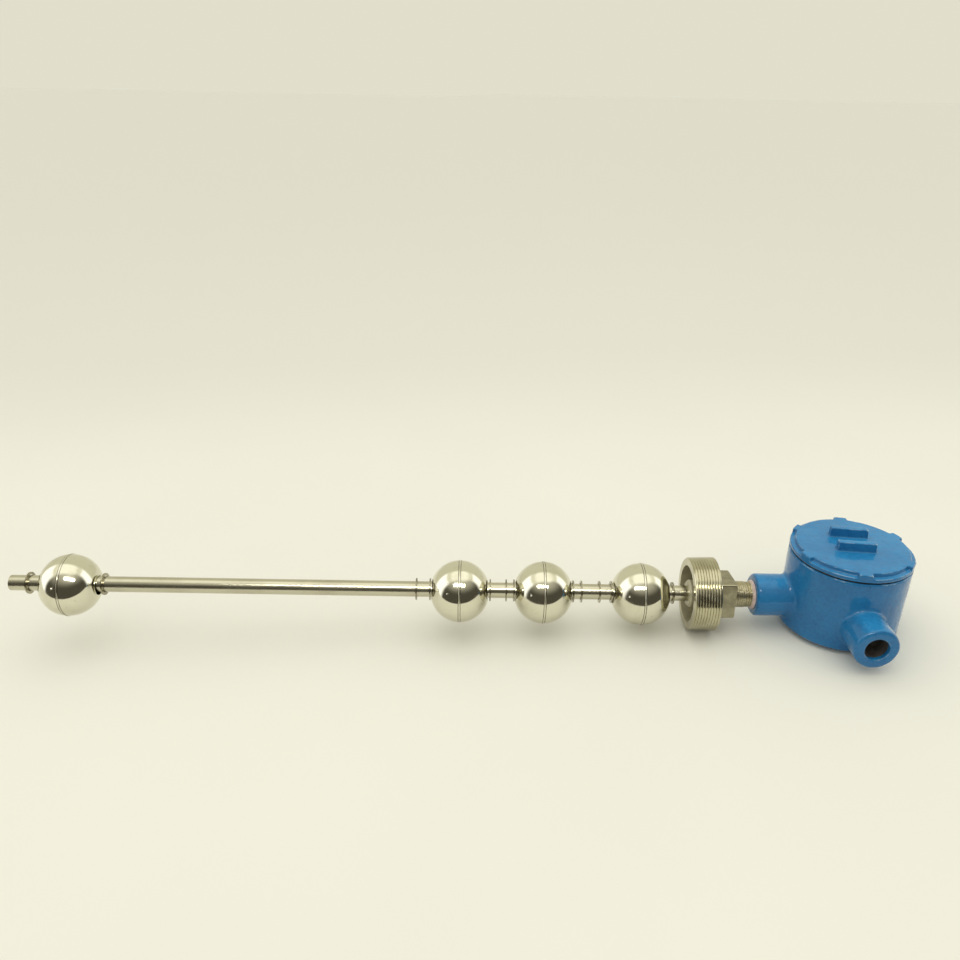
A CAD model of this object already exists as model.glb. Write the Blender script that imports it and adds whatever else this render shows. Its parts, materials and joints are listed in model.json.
"""Looks of the float level switch: steel stem, mirror floats, threaded plug and a blue cast box.

Everything is in metres in the CAD frame: X is the stem's axis towards the box, Z is up.
"""

import json
import math

import bpy
import numpy as np
from mathutils import Matrix, Vector, noise


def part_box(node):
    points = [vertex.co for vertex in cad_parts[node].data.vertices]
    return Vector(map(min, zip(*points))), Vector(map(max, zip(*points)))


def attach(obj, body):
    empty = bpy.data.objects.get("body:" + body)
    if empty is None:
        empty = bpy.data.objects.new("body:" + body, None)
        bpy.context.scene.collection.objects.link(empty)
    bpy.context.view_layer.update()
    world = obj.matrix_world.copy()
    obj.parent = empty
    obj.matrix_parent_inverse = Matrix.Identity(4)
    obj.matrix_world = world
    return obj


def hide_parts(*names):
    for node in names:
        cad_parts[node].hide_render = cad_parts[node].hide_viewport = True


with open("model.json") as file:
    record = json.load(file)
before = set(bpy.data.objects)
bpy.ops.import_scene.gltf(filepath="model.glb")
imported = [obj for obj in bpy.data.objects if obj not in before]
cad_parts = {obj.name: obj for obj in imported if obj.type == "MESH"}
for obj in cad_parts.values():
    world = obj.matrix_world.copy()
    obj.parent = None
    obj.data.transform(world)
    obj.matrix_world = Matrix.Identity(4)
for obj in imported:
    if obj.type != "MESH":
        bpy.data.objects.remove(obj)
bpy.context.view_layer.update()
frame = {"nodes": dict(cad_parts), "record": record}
NODES = frame["nodes"]
MM = 0.001
INCH = 25.4 * MM

# Camera, above and in front of the object, a little right of its middle
CAMERA_PLACE = (-0.1982, -0.590, 0.387)
CAMERA_LENS = 31.9
CAMERA_PITCH = math.radians(25.9)
CAMERA_YAW = math.radians(0.454)
CAMERA_ROLL = math.radians(1.163)

# Colours, linear
PAPER = (0.865, 0.86, 0.805, 1)
PAPER_SHADED = (0.845, 0.84, 0.785, 1)
PAPER_FAR = (0.775, 0.77, 0.72, 1)
MIRROR_STEEL = (0.74, 0.72, 0.585, 1)
SMEARED_STEEL = (0.66, 0.635, 0.50, 1)
SPOTTED_STEEL = (0.42, 0.39, 0.30, 1)
SEAM_STEEL = (0.09, 0.075, 0.045, 1)
DRAWN_STEEL = (0.60, 0.575, 0.45, 1)
DULL_DRAWN_STEEL = (0.52, 0.49, 0.38, 1)
MACHINED_STEEL = (0.53, 0.50, 0.355, 1)
DULL_MACHINED_STEEL = (0.44, 0.41, 0.285, 1)
CAST_STEEL = (0.51, 0.465, 0.31)
DULL_CAST_STEEL = (0.41, 0.37, 0.25)
FORGED_STEEL = (0.37, 0.34, 0.235)
DULL_FORGED_STEEL = (0.29, 0.265, 0.185)
SPRING_STEEL = (0.41, 0.38, 0.28, 1)
DULL_SPRING_STEEL = (0.26, 0.235, 0.17, 1)
ENAMEL_DEEP = (0.011, 0.125, 0.330, 1)
ENAMEL_LIGHT = (0.017, 0.172, 0.410, 1)
FADED_DEEP = (0.014, 0.190, 0.460, 1)
FADED_LIGHT = (0.024, 0.260, 0.580, 1)
ENAMEL_WORN = (0.38, 0.54, 0.66, 1)
ENAMEL_PIT = (0.02, 0.04, 0.06, 1)

# Shape details finer than the CAD's
WALL = 0.8 * MM
BEAD_HEIGHT = 0.4 * MM
BEAD_HALF_WIDTH = 0.5 * MM
BEAD_WANDER = 0.12 * MM
BEAD_WANDER_REACH = 3 * MM
SEAM_LINE = (0.62 * MM, 1.05 * MM)
SEAM_ZONE = (1.7 * MM, 1.8 * MM)
FLOAT_DISC_RADIUS = 9.6 * MM
GROOVE_SHARE = 0.5
PIPE_TAPER = 1 / 32
THREAD_RUN_OUT = 0.8 * MM
PLUG_PITCH = INCH / 11.5
PLUG_THREAD_DEPTH = 0.55 * MM
PLUG_NOSE_BEVEL = 0.9 * MM
PLUG_SHOULDER_BEVEL = 0.4 * MM
PLUG_RIM_WIDTH = 3 * MM
PLUG_RECESS_RADIUS = 23 * MM
HEAD_HALF_FLATS = 14.9 * MM
HEAD_TURN = math.radians(-7.5)
HEAD_CHAMFER = (0.8 * MM, 1.6 * MM)
HEAD_EDGE = 0.6 * MM
NIPPLE_PITCH = INCH / 14
NIPPLE_BORE_RADIUS = 7.9 * MM
NIPPLE_THREAD_SHOWN = 7.3 * MM
NIPPLE_THREAD_DEPTH = 0.6 * MM
NIPPLE_FAINT_DEPTH = 0.3 * MM
NIPPLE_WEAR = 0.35 * MM
PASTE_WIDTH = 2.0 * MM
PASTE_SKIRT = 0.3 * MM
LUMP_SCALES = (90, 260)

# Where the castings are bare, in the box's own places
BOX_SEAT_HEIGHT = 25.6 * MM
BOX_MOUTH_RADIUS = 38.9 * MM
BOX_CHAMBER_RADIUS = 43.4 * MM
BOX_FLOOR_HEIGHT = -17.8 * MM
CONDUIT_BORE_RADIUS = 9.45 * MM
CONDUIT_PAINTED_DEPTH = 4 * MM
NIPPLE_SOCKET_RADIUS = 10.4 * MM
COVER_NECK_HEIGHT = 12.2 * MM

# Stage: how far the table reaches, where its slope ends past the stem's free end, the further
# corners of its mesh along X and Y, and where the stretch that steel reflects begins
TABLE_REACH = 15
TABLE_BEND = -0.75
TABLE_COLUMNS = (-0.3, 0)
TABLE_ROWS = (-0.3, 0.3)
MIRRORED_FROM = -0.19
OBJECT_MIDDLE = (-0.2, 0, 0)


# ---------------------------------------------------------------- shader helpers

class Nodes:
    """Short calls for the nodes of a tree."""

    def __init__(self, tree):
        self.tree = tree

    def node(self, kind, **settings):
        made = self.tree.nodes.new(kind)
        for key, value in settings.items():
            setattr(made, key, value)
        return made

    def feed(self, value, socket):
        """Gives a socket a constant, or a link from another socket."""
        if isinstance(value, bpy.types.NodeSocket):
            self.tree.links.new(value, socket)
        else:
            socket.default_value = value

    def maths(self, operation, *values):
        made = self.node("ShaderNodeMath", operation=operation)
        for value, socket in zip(values, made.inputs):
            self.feed(value, socket)
        return made.outputs["Value"]

    def fade(self, value, low, high, out_low=0.0, out_high=1.0):
        """Maps a range of the value smoothly onto another range."""
        made = self.node("ShaderNodeMapRange", interpolation_type="SMOOTHSTEP")
        for key, number in (("From Min", low), ("From Max", high), ("To Min", out_low), ("To Max", out_high)):
            made.inputs[key].default_value = number
        self.feed(value, made.inputs["Value"])
        return made.outputs["Result"]

    def mix(self, share, first, second):
        """Mixes two colours by a share of the second."""
        made = self.node("ShaderNodeMix", data_type="RGBA")
        self.feed(share, made.inputs["Factor"])
        self.feed(first, made.inputs[6])
        self.feed(second, made.inputs[7])
        return made.outputs[2]


class Shader(Nodes):
    """A material with one Principled shader."""

    def __init__(self, name, **values):
        self.material = bpy.data.materials.new(name)
        self.material.use_nodes = True
        super().__init__(self.material.node_tree)
        self.main = self.tree.nodes["Principled BSDF"]
        self.place = self.node("ShaderNodeTexCoord").outputs["Object"]
        for key, value in values.items():
            self.main.inputs[key.replace("_", " ")].default_value = value

    def stretched(self, scale):
        """The object's coordinates, stretched by a factor along each axis."""
        mapping = self.node("ShaderNodeMapping")
        mapping.inputs["Scale"].default_value = scale
        self.feed(self.place, mapping.inputs["Vector"])
        return mapping.outputs["Vector"]

    def noise(self, scale, detail=3.0, vector=None):
        """Noise with this many features to a metre."""
        made = self.node("ShaderNodeTexNoise")
        made.inputs["Scale"].default_value = scale
        made.inputs["Detail"].default_value = detail
        self.feed(vector or self.place, made.inputs["Vector"])
        return made.outputs["Fac"]

    def bump(self, height, depth, before=None):
        """A bump of this depth in metres, on top of another bump where one is given."""
        made = self.node("ShaderNodeBump")
        made.inputs["Distance"].default_value = depth
        self.feed(height, made.inputs["Height"])
        if before:
            self.feed(before, made.inputs["Normal"])
        return made.outputs["Normal"]

    def finish(self, color, roughness=None, normal=None):
        for value, key in ((color, "Base Color"), (roughness, "Roughness"), (normal, "Normal")):
            if value is not None:
                self.feed(value, self.main.inputs[key])
        return self.material


def mirror_steel():
    """Polished pressed steel: a mirror with faint waves, smears and pin spots."""
    shader = Shader("mirror_steel", Metallic=1.0)
    smears = shader.noise(55, 4)
    spots = shader.fade(shader.noise(900, 1), 0.72, 0.78)
    tint = shader.mix(shader.fade(smears, 0.45, 0.75), MIRROR_STEEL, SMEARED_STEEL)
    waves = shader.bump(shader.noise(70, 2), 0.00005)
    color = shader.mix(spots, tint, SPOTTED_STEEL)
    return shader.finish(color, shader.fade(smears, 0.3, 0.8, 0.07, 0.17), waves)


def drawn_steel():
    """Drawn tube: fine lines along the stem and a soft polish."""
    shader = Shader("drawn_steel", Metallic=1.0)
    lines = shader.noise(900, 2, shader.stretched((0.015, 1, 1)))
    patches = shader.noise(30, 4)
    color = shader.mix(shader.fade(patches, 0.4, 0.75), DRAWN_STEEL, DULL_DRAWN_STEEL)
    return shader.finish(color, shader.fade(patches, 0.3, 0.8, 0.2, 0.3), shader.bump(lines, 0.00002))


def turned_steel(name, tint, dull, low, high):
    """Turned steel: tool lines round the X axis, and a dull film in soft patches."""
    shader = Shader(name, Metallic=1.0)
    lines = shader.noise(2600, 1, shader.stretched((1, 0.02, 0.02)))
    film = shader.noise(60, 3)
    color = shader.mix(shader.fade(film, 0.35, 0.7), tint, dull)
    return shader.finish(color, shader.fade(film, 0.3, 0.75, low, high), shader.bump(lines, 0.000006))


def enamel():
    """Thick glossy paint on a rough casting, paler where it faces up and worn here and there on edges."""
    shader = Shader("box_enamel", Coat_Weight=1.0, Coat_Roughness=0.08, Coat_IOR=1.36,
                    Specular_IOR_Level=0.12)
    clouds = shader.noise(30, 3)
    grit = shader.noise(420, 3)
    shade = shader.maths("ADD", shader.maths("MULTIPLY", clouds, 0.6), shader.maths("MULTIPLY", grit, 0.4))
    geometry = shader.node("ShaderNodeNewGeometry")
    facing = shader.node("ShaderNodeSeparateXYZ")
    shader.feed(geometry.outputs["Normal"], facing.inputs["Vector"])
    faded = shader.fade(facing.outputs["Z"], 0.7, 0.97)
    color = shader.mix(shader.fade(shade, 0.35, 0.65), shader.mix(faded, ENAMEL_DEEP, FADED_DEEP),
                       shader.mix(faded, ENAMEL_LIGHT, FADED_LIGHT))
    worn = shader.maths("MULTIPLY", shader.fade(geometry.outputs["Pointiness"], 0.52, 0.57),
                        shader.fade(shader.noise(110, 3), 0.44, 0.56))
    color = shader.mix(worn, color, ENAMEL_WORN)
    pits = shader.fade(shader.noise(520, 1), 0.74, 0.79)
    lumps = shader.bump(shader.noise(120, 3), 0.00035)
    return shader.finish(shader.mix(pits, color, ENAMEL_PIT), shader.fade(grit, 0.3, 0.7, 0.38, 0.58),
                         shader.bump(grit, 0.0002, lumps))


def plain(name, color, other, roughness, scale, depth, **values):
    """Two mottled colours over a fine grain."""
    shader = Shader(name, **values)
    mottle = shader.noise(scale, 4)
    return shader.finish(shader.mix(shader.fade(mottle, 0.35, 0.7), (*color, 1), (*other, 1)),
                         shader.fade(mottle, 0.3, 0.7, roughness - 0.07, roughness + 0.07),
                         shader.bump(shader.noise(scale * 6, 2), depth))


def make_materials():
    made = {
        "polished_stainless": mirror_steel(),
        "seam_steel": turned_steel("seam_steel", SEAM_STEEL, SEAM_STEEL, 0.3, 0.45),
        "drawn_stainless": drawn_steel(),
        "machined_stainless": turned_steel("machined_steel", MACHINED_STEEL, DULL_MACHINED_STEEL, 0.12, 0.19),
        "cast_steel": plain("cast_steel", CAST_STEEL, DULL_CAST_STEEL, 0.32, 180, 0.00006, Metallic=1.0),
        "forged_steel": plain("forged_steel", FORGED_STEEL, DULL_FORGED_STEEL, 0.32, 180, 0.00006,
                              Metallic=1.0),
        "bored_steel": plain("bored_steel", (0.54, 0.51, 0.375), (0.46, 0.43, 0.315), 0.42, 120, 0.00004,
                             Metallic=0.4),
        "spring_steel": turned_steel("spring_steel", SPRING_STEEL, DULL_SPRING_STEEL, 0.16, 0.28),
        "box_enamel": enamel(),
        "raw_casting": plain("raw_casting", (0.24, 0.215, 0.195), (0.11, 0.098, 0.09), 0.42, 160, 0.0002,
                             Metallic=0.6),
        "black_rubber": plain("black_rubber", (0.012, 0.012, 0.013), (0.03, 0.03, 0.03), 0.5, 300, 0.00005),
        "thread_sealant": plain("thread_sealant", (0.78, 0.60, 0.56), (0.62, 0.47, 0.44), 0.5, 350, 0.0003,
                                Subsurface_Weight=0.1),
        "green_screw": plain("green_screw", (0.03, 0.22, 0.06), (0.05, 0.30, 0.10), 0.35, 400, 0.00005,
                             Metallic=0.5),
        "potting_resin": plain("potting_resin", (0.01, 0.01, 0.01), (0.03, 0.03, 0.028), 0.25, 250, 0.0001),
        "ferrite": plain("ferrite", (0.04, 0.04, 0.042), (0.09, 0.09, 0.09), 0.6, 300, 0.0001),
        "reed_glass": plain("reed_glass", (0.70, 0.85, 0.76), (0.75, 0.9, 0.8), 0.12, 200, 0.00002,
                            Transmission_Weight=0.85),
    }
    wires = {"black": (0.012, 0.012, 0.012), "red": (0.45, 0.02, 0.02), "yellow": (0.72, 0.50, 0.03),
             "blue": (0.02, 0.08, 0.40), "orange": (0.70, 0.16, 0.02)}
    for name, tint in wires.items():
        darker = [0.8 * part for part in tint]
        made[f"{name}_insulation"] = plain(f"{name}_insulation", tint, darker, 0.4, 300, 0.00003)
    return made


MATERIALS = make_materials()


# ---------------------------------------------------------------- mesh helpers

def new_piece(name, mesh, body, slot, sharp=None, material=None):
    """An object from a mesh that rides on a body, smooth but for edges sharper than an angle."""
    piece = bpy.data.objects.new(name, mesh)
    bpy.context.scene.collection.objects.link(piece)
    mesh.materials.clear()
    mesh.materials.append(MATERIALS[material or slot])
    mesh.shade_smooth()
    if sharp:
        mesh.set_sharp_from_angle(angle=math.radians(sharp))
    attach(piece, body)
    return piece


def second_material(piece, name, where):
    """Gives another material to the faces whose centre passes a test."""
    piece.data.materials.append(MATERIALS[name])
    index = len(piece.data.materials) - 1
    for face in piece.data.polygons:
        if where(face.center):
            face.material_index = index


def radius_of(node):
    """The radius of a round node, from its height."""
    low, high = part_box(node)
    return (high.z - low.z) / 2


def turns(steps):
    """The angles of the corners of a lathed ring, from +Y towards +Z."""
    return np.linspace(0, 2 * math.pi, steps, endpoint=False)


def lathe(name, rings, steps, centre=(0, 0, 0)):
    """A closed mesh round the X axis. Each ring is a place along X and a radius, and either of them
    may be a list with one for each step."""
    angles = turns(steps)
    rows = []
    for along, radius in rings:
        row = np.empty((steps, 3))
        row[:, 0] = along
        row[:, 1] = radius * np.cos(angles)
        row[:, 2] = radius * np.sin(angles)
        rows.append(row)
    vertices = np.concatenate(rows) + np.array(centre)
    faces = []
    for ring in range(len(rings)):
        following = (ring + 1) % len(rings)
        for step in range(steps):
            beside = (step + 1) % steps
            faces.append((ring * steps + step, following * steps + step,
                          following * steps + beside, ring * steps + beside))
    mesh = bpy.data.meshes.new(name)
    mesh.from_pydata(vertices.tolist(), [], faces)
    mesh.validate()
    return mesh


def thread_radii(along, angles, crest, depth, pitch, low, high):
    """The radius all round a right-hand thread at one place: flat crests, sharp grooves and run-outs."""
    turn = (along / pitch - angles / (2 * math.pi)) % 1.0
    height = np.minimum(1, np.abs(2 * turn - 1) / GROOVE_SHARE)
    ends = min(1.0, max(0.0, (along - low) / THREAD_RUN_OUT), max(0.0, (high - along) / THREAD_RUN_OUT))
    return crest - depth * ends * (1 - height)


# ---------------------------------------------------------------- floats

def bead_lift(along):
    """How far the weld bead stands out at a place along X from the seam."""
    return BEAD_HEIGHT * math.exp(-(along / BEAD_HALF_WIDTH) ** 4)


def ball_arc(half, disc, radius, flip=False):
    """A float's round wall between two end discs, with close steps at the seam, as places and radii."""
    offset = (radius ** 2 - disc ** 2 - half ** 2) / (2 * radius - 2 * disc)
    swing = radius - offset
    reach = math.acos(half / swing)
    places = [swing * math.cos(angle) for angle in np.linspace(math.pi - reach, reach, 121)]
    places = [along for along in places if abs(along) > SEAM_ZONE[1]]
    places += list(np.linspace(-SEAM_ZONE[0], SEAM_ZONE[0], 35))
    return [(along, offset + math.sqrt(swing ** 2 - along ** 2)) for along in sorted(places, reverse=flip)]


def float_ball(number):
    """A float of two pressed halves, with an uneven weld bead between them."""
    body = f"float_{number}"
    low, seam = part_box(f"{body}_shell_far")
    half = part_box(f"{body}_shell_near")[1].x - seam.x
    radius = radius_of(f"{body}_shell_far") - BEAD_HEIGHT
    hole = radius_of(f"{body}_tube")
    steps = 160
    angles = turns(steps)
    wander = np.sin(2 * angles + number) + 0.5 * np.sin(5 * angles + 2 * number)
    rings = [(-half, hole)]
    for along, distance in ball_arc(half, FLOAT_DISC_RADIUS, radius):
        stray = BEAD_WANDER * math.exp(-(along / BEAD_WANDER_REACH) ** 2)
        rings.append((along + stray * wander, distance + bead_lift(along)))
    rings += [(half, hole), (half - WALL, hole)]
    rings += ball_arc(half - WALL, FLOAT_DISC_RADIUS, radius - WALL, flip=True)
    rings.append((WALL - half, hole))
    mesh = lathe(f"{body}_ball", rings, steps, (seam.x, 0, (low.z + seam.z) / 2))
    piece = new_piece(f"{body}_ball", mesh, body, "polished_stainless", sharp=40)
    second_material(piece, "seam_steel",
                    lambda place: SEAM_LINE[0] < abs(place.x - seam.x) < SEAM_LINE[1])
    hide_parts(f"{body}_shell_far", f"{body}_shell_near")


# ---------------------------------------------------------------- plug and nipple

def process_plug():
    """The pipe plug with its true thread, deep recess and square head with chamfered corners."""
    low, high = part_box("process_plug")
    outer = radius_of("process_plug")
    socket = radius_of("conduit_nipple")
    socket_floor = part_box("conduit_nipple")[0].x
    bore = radius_of("stem_tube")
    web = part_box("stem_bushing")[1].x
    steps = 288
    angles = turns(steps)
    nose = outer + low.x * PIPE_TAPER - PLUG_NOSE_BEVEL
    shoulder = outer - PLUG_SHOULDER_BEVEL
    rings = [(low.x, PLUG_RECESS_RADIUS), (low.x, nose)]
    for along in np.linspace(low.x + 0.1 * MM, -0.05 * MM, 220):
        taper = outer + along * PIPE_TAPER
        radii = thread_radii(along, angles, taper, PLUG_THREAD_DEPTH, PLUG_PITCH, low.x, 0)
        bevel = min(nose + along - low.x, shoulder - along)
        rings.append((along, np.minimum(radii, bevel)))
    flat = (angles - HEAD_TURN + math.pi / 4) % (math.pi / 2) - math.pi / 4
    corner = HEAD_HALF_FLATS * math.sqrt(2)
    square = np.minimum(HEAD_HALF_FLATS / np.cos(flat), corner - HEAD_EDGE)
    rings += [(0, shoulder), (0, square), (high.x - HEAD_CHAMFER[0], square)]
    for share in np.linspace(0.25, 1, 4):
        chamfered = np.minimum(square, corner - HEAD_CHAMFER[1] * share)
        rings.append((high.x - HEAD_CHAMFER[0] * (1 - share), chamfered))
    rings += [(high.x, socket), (socket_floor, socket), (socket_floor, bore), (web, bore),
              (web, PLUG_RECESS_RADIUS)]
    piece = new_piece("threaded_plug", lathe("threaded_plug", rings, steps), "stem_and_box",
                      "machined_stainless", sharp=24)

    inner = nose - PLUG_RIM_WIDTH
    edge = corner - HEAD_EDGE - 0.1 * MM
    second_material(piece, "bored_steel", lambda place: low.x < place.x < web + 0.1 * MM
                    and math.hypot(place.y, place.z) < inner)
    second_material(piece, "forged_steel",
                    lambda place: place.x > 0 and math.hypot(place.y, place.z) < edge)
    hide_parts("process_plug")


def nipple():
    """The pipe nipple: faint turns of thread beside the plug, then deeper worn ones before the box."""
    low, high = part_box("conduit_nipple")
    outer = radius_of("conduit_nipple")
    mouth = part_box("thread_sealant")[1].x
    shoulder = mouth - NIPPLE_THREAD_SHOWN
    worn = outer - NIPPLE_WEAR
    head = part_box("process_plug")[1].x
    steps = 160
    angles = turns(steps)
    rings = [(low.x, NIPPLE_BORE_RADIUS), (low.x, outer)]
    for along in np.linspace(head + 1.5 * MM, shoulder - 0.3 * MM, 60):
        rings.append((along, thread_radii(along, angles, outer, NIPPLE_FAINT_DEPTH, NIPPLE_PITCH,
                                          head, shoulder)))
    rings.append((shoulder, outer - 0.15 * MM))
    for along in np.linspace(shoulder + 0.1 * MM, mouth + 2 * MM, 90):
        rings.append((along, thread_radii(along, angles, worn, NIPPLE_THREAD_DEPTH, NIPPLE_PITCH,
                                          shoulder, high.x)))
    rings += [(high.x, worn - 0.7 * MM), (high.x, NIPPLE_BORE_RADIUS)]
    piece = new_piece("threaded_nipple", lathe("threaded_nipple", rings, steps), "stem_and_box",
                      "machined_stainless", sharp=30, material="cast_steel")
    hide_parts("conduit_nipple")


def sealant():
    """The bead of thread paste squeezed out at the mouth of the near hub."""
    low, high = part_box("thread_sealant")
    outer = radius_of("thread_sealant")
    width = high.x - low.x
    inner = outer - PASTE_WIDTH
    steps = 120
    wobble = np.array([noise.noise(Vector((3 * math.cos(a), 3 * math.sin(a), 0))) for a in turns(steps)])
    rings = []
    for share in np.linspace(0, 1, 13):
        bulge = math.sin(math.pi * (0.5 * share + 0.02))
        along = low.x + width * (0.08 + 0.92 * share)
        rings.append((along, inner + (outer - inner) * bulge * (0.86 + 0.14 * wobble)))
    rings += [(high.x, inner - PASTE_SKIRT), (low.x + 0.1 * width, inner - PASTE_SKIRT)]
    piece = new_piece("sealant_bead", lathe("sealant_bead", rings, steps), "stem_and_box",
                      "thread_sealant", sharp=60)
    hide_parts("thread_sealant")


# ---------------------------------------------------------------- cast box and cover

def cast_copy(node, name, voxel, lump, body):
    """A copy of a CAD node as a painted casting: soft edges and a slightly lumpy skin."""
    rough = bpy.data.objects.new(f"{name}_rough", NODES[node].data.copy())
    bpy.context.scene.collection.objects.link(rough)
    weld = rough.modifiers.new("Weld", "WELD")
    weld.merge_threshold = 0.00001
    remesh = rough.modifiers.new("Remesh", "REMESH")
    remesh.mode = "VOXEL"
    remesh.voxel_size = voxel
    soften = rough.modifiers.new("Soften", "SMOOTH")
    soften.factor = 0.5
    soften.iterations = 3
    graph = bpy.context.evaluated_depsgraph_get()
    mesh = bpy.data.meshes.new_from_object(rough.evaluated_get(graph))
    bpy.data.objects.remove(rough)
    mesh.name = name
    normals = [vertex.normal.copy() for vertex in mesh.vertices]
    for vertex, normal in zip(mesh.vertices, normals):
        height = noise.noise(vertex.co * LUMP_SCALES[0]) + 0.5 * noise.noise(vertex.co * LUMP_SCALES[1])
        vertex.co += normal * (lump * (height - 0.6))
    mesh.update()
    piece = new_piece(name, mesh, body, "box_enamel")
    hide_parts(node)
    return piece


def junction_box():
    """The cast box, painted outside and bare in its bores and chamber."""
    piece = cast_copy("junction_box", "cast_box", 0.9 * MM, 0.22 * MM, "stem_and_box")
    low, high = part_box("junction_box_cover")
    centre_x = (low.x + high.x) / 2
    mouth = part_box("junction_box")[0].y

    def bare(place):
        wall = BOX_MOUTH_RADIUS if place.z > BOX_SEAT_HEIGHT else BOX_CHAMBER_RADIUS
        across = place.x - centre_x
        in_chamber = math.hypot(across, place.y) < wall and place.z > BOX_FLOOR_HEIGHT
        in_conduit_hub = (math.hypot(across, place.z) < CONDUIT_BORE_RADIUS
                          and mouth + CONDUIT_PAINTED_DEPTH < place.y < 0)
        in_nipple_hub = math.hypot(place.y, place.z) < NIPPLE_SOCKET_RADIUS and across < 0
        return in_chamber or in_conduit_hub or in_nipple_hub

    second_material(piece, "raw_casting", bare)


def cover():
    """The cast cover with its lugs and bars, bare on the neck inside the box."""
    piece = cast_copy("junction_box_cover", "cast_cover", 0.65 * MM, 0.16 * MM, "cover")
    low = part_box("junction_box_cover")[0]
    second_material(piece, "raw_casting", lambda place: place.z < low.z + COVER_NECK_HEIGHT)


# ---------------------------------------------------------------- what keeps its CAD shape

def dress_nodes():
    """Gives every CAD node that shows its material, from its slot in the record."""
    for row in frame["record"]["subparts"]:
        node = NODES[row["node"]]
        node.data.materials.clear()
        node.data.materials.append(MATERIALS[row["material_slot"]])
    bushing = NODES["stem_bushing"].data
    bushing.materials.clear()
    bushing.materials.append(MATERIALS["bored_steel"])


# ---------------------------------------------------------------- stage, light and camera

# The room as polished steel shows it: pale behind, dark in front, and between them a bright arch
# over the object. The arch and the front are bounded by a direction's Y part. What isn't polished is
# lit evenly, more from above.
ROOM_BACK = (0.74, 0.72, 0.56, 1)
ROOM_FRONT_LOW = (0.084, 0.077, 0.059, 1)
ROOM_FRONT_HIGH = (0.60, 0.58, 0.48, 1)
ROOM_ARCH_TOP = (1.36, 1.33, 1.17, 1)
ROOM_ARCH_SHOULDERS = (1.0, 0.97, 0.80, 1)
ROOM_ARCH_SIDES = (1.65, 1.65, 1.62, 1)
ROOM_LIGHT_LOW = (0.45, 0.44, 0.385, 1)
ROOM_LIGHT_HIGH = (1.20, 1.175, 1.035, 1)
ROOM_SEEN = (0.756, 0.735, 0.604, 1)
FRONT_RISE = (0.30, 0.95)
ARCH_SHOULDER_RISE = (0.62, 0.76)
ARCH_TOP_RISE = (0.80, 0.92)
ARCH_FRONT_EDGE = (-0.43, -0.20)
ARCH_BACK_EDGE = (0.30, 0.46)
ARCH_SKEW = (0.2, 0.85, 0.0, 0.28)


def make_world():
    """The room round the table: what steel and enamel reflect, and most of the light."""
    world = bpy.data.worlds.new("room")
    bpy.context.scene.world = world
    world.use_nodes = True
    room = Nodes(world.node_tree)
    room.tree.nodes.clear()
    split = room.node("ShaderNodeSeparateXYZ")
    room.feed(room.node("ShaderNodeTexCoord").outputs["Generated"], split.inputs["Vector"])
    across, forward, up = split.outputs["X"], split.outputs["Y"], split.outputs["Z"]
    front = room.mix(room.fade(up, *FRONT_RISE), ROOM_FRONT_LOW, ROOM_FRONT_HIGH)
    arch = room.mix(room.fade(up, *ARCH_SHOULDER_RISE), ROOM_ARCH_SIDES, ROOM_ARCH_SHOULDERS)
    arch = room.mix(room.fade(up, *ARCH_TOP_RISE), arch, ROOM_ARCH_TOP)
    edge = room.maths("SUBTRACT", forward, room.fade(across, *ARCH_SKEW))
    color = room.mix(room.fade(edge, *ARCH_FRONT_EDGE), front, arch)
    color = room.mix(room.fade(forward, *ARCH_BACK_EDGE), color, ROOM_BACK)
    light = room.mix(room.fade(up, 0, 1), ROOM_LIGHT_LOW, ROOM_LIGHT_HIGH)
    ray = room.node("ShaderNodeLightPath").outputs
    color = room.mix(ray["Is Glossy Ray"], light, color)
    color = room.mix(ray["Is Camera Ray"], color, ROOM_SEEN)
    background = room.node("ShaderNodeBackground")
    room.feed(color, background.inputs["Color"])
    room.feed(background.outputs["Background"], room.node("ShaderNodeOutputWorld").inputs["Surface"])


def lamp(name, place, target, size, energy, reflected):
    """A soft rectangular lamp aimed at a point and hidden from the camera: it either lights the
    scene or only shows in polished surfaces."""
    light = bpy.data.lights.new(name, "AREA")
    light.shape = "RECTANGLE"
    light.size, light.size_y = size
    light.energy = energy
    light.color = (1, 0.99, 0.93)
    made = bpy.data.objects.new(name, light)
    bpy.context.scene.collection.objects.link(made)
    made.location = place
    made.rotation_euler = (Vector(target) - made.location).to_track_quat("-Z", "Y").to_euler()
    made.visible_camera = False
    made.visible_glossy = reflected
    made.visible_diffuse = not reflected


def table_height(along):
    """The table's height: the object rests on the plug's rim and the far edge of the box's bottom."""
    plug_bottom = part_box("process_plug")[0].z
    box_low, box_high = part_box("junction_box")
    slope = (box_low.z - plug_bottom) / box_high.x
    return plug_bottom + slope * min(max(along, TABLE_BEND), box_high.x)


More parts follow.
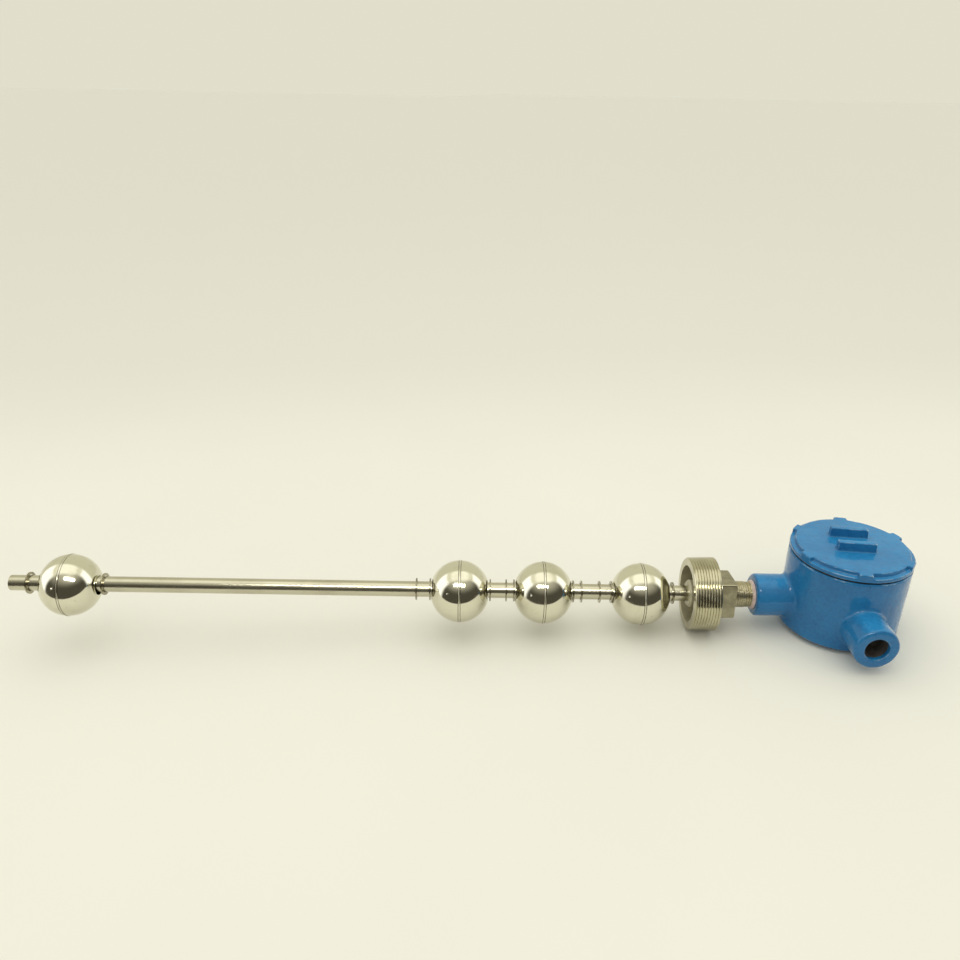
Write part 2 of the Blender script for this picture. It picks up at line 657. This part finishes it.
def sheet(name, front, back, rise):
    """A flat sheet between two places along Y, at the table's height all along X."""
    places = (-TABLE_REACH, TABLE_BEND, *TABLE_COLUMNS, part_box("junction_box")[1].x, TABLE_REACH)
    vertices = []
    for along in places:
        for depth in (front, *TABLE_ROWS, back):
            vertices.append((along, max(depth, front), table_height(along) + rise))
    faces = []
    for row in range(len(places) - 1):
        for corner in range(4 * row, 4 * row + 3):
            faces.append((corner, corner + 4, corner + 5, corner + 1))
    mesh = bpy.data.meshes.new(name)
    mesh.from_pydata(vertices, [], faces)
    mesh.shade_smooth()
    piece = bpy.data.objects.new(name, mesh)
    bpy.context.scene.collection.objects.link(piece)
    return piece


def make_stage():
    """A pale table, a little darker at its back, and the stretch of it that steel reflects."""
    paper = Shader("pale_paper", Roughness=0.7, Specular_IOR_Level=0.2)
    split = paper.node("ShaderNodeSeparateXYZ")
    paper.feed(paper.place, split.inputs["Vector"])
    near = paper.mix(paper.fade(paper.noise(3), 0.3, 0.7), PAPER, PAPER_SHADED)
    paper.finish(paper.mix(paper.fade(split.outputs["Y"], 0.2, 0.8), near, PAPER_FAR))
    table = sheet("table", -TABLE_REACH, TABLE_REACH, 0)
    table.data.materials.append(paper.material)
    table.visible_glossy = False
    mirrored = sheet("table_in_reflections", MIRRORED_FROM, TABLE_REACH, 0.2 * MM)
    mirrored.data.materials.append(paper.material)
    for kind in ("camera", "diffuse", "shadow", "transmission", "volume_scatter"):
        setattr(mirrored, f"visible_{kind}", False)


def make_camera():
    """The camera that looks down on the whole object."""
    lens = bpy.data.cameras.new("camera")
    lens.lens = CAMERA_LENS
    lens.sensor_width = 36
    camera = bpy.data.objects.new("camera", lens)
    bpy.context.scene.collection.objects.link(camera)
    turn = Matrix.Rotation(-CAMERA_YAW, 4, "Z")
    tilt = Matrix.Rotation(math.pi / 2 - CAMERA_PITCH, 4, "X")
    roll = Matrix.Rotation(CAMERA_ROLL, 4, "Z")
    camera.matrix_world = Matrix.Translation(CAMERA_PLACE) @ turn @ tilt @ roll
    bpy.context.scene.camera = camera
    bpy.context.scene.view_settings.view_transform = "Standard"


dress_nodes()
for float_number in range(1, 5):
    float_ball(float_number)
process_plug()
nipple()
sealant()
junction_box()
cover()
make_world()
lamp("ceiling_lamp", (-0.2, 0, 1.5), OBJECT_MIDDLE, (1.8, 1.4), 2.2, reflected=False)
lamp("front_panel", (-0.23, -0.47, 0.65), OBJECT_MIDDLE, (0.6, 0.12), 2.9, reflected=True)
lamp("far_window", (-2.04, -1.49, 0.43), OBJECT_MIDDLE, (0.09, 0.09), 0.2, reflected=True)
make_stage()
make_camera()
